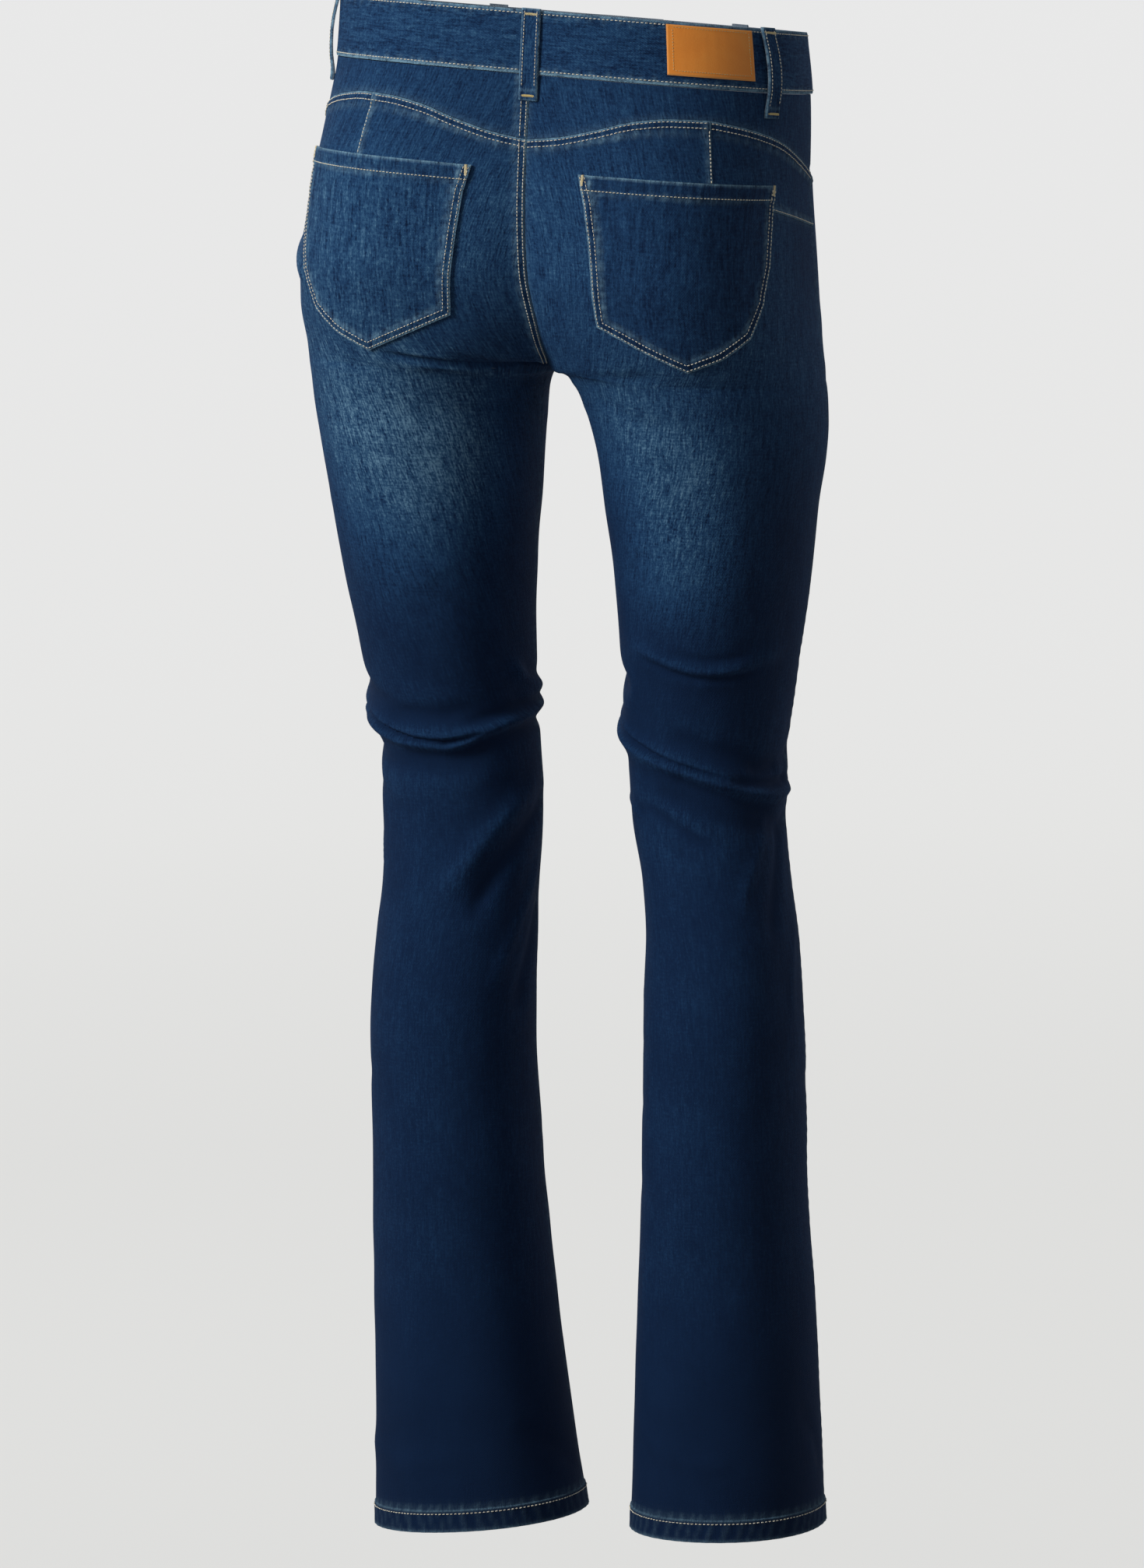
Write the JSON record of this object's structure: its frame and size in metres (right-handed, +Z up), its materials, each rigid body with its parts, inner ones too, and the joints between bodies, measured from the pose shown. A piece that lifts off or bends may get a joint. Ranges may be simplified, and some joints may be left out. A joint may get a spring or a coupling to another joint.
{
  "type": "slim fit jeans",
  "caption": "Slim fit denim jeans with curved back yokes, five-sided back pockets and a blank leather waist patch, standing in the form of a worn pair.",
  "frame": {"origin": "middle of the waist opening, in the plane of the waistband's top edge", "axes": "+Z up along the standing body; the wearer faces -Y; the wearer's left is +X"},
  "size_m": [0.3681, 0.2471, 1.0664],
  "materials": {
    "denim": "deep indigo stretch denim, fine twill, softly faded",
    "denim_dark": "deep indigo stretch denim, little faded",
    "patch_leather": "tan leather, smooth, bare",
    "trim_metal": "aged brass, satin",
    "zip_tape": "woven tape, dark blue"
  },
  "bodies": {
    "root": {"waistband": "denim", "yoke_left": "denim", "yoke_right": "denim", "side_insert_left": "denim", "side_insert_right": "denim", "back_leg_left": "denim", "back_leg_right": "denim", "front_leg_left": "denim", "front_leg_right": "denim", "pocket_facing_left": "denim_dark", "pocket_facing_right": "denim_dark", "back_pocket_left": "denim_dark", "back_pocket_right": "denim_dark", "belt_loop_back": "denim", "belt_loop_back_left": "denim", "belt_loop_back_right": "denim", "belt_loop_front_left": "denim", "belt_loop_front_right": "denim", "patch": "patch_leather", "waist_button": "trim_metal", "fly_zip": "zip_tape", "zip_slider": "trim_metal"}
  },
  "joints": []
}
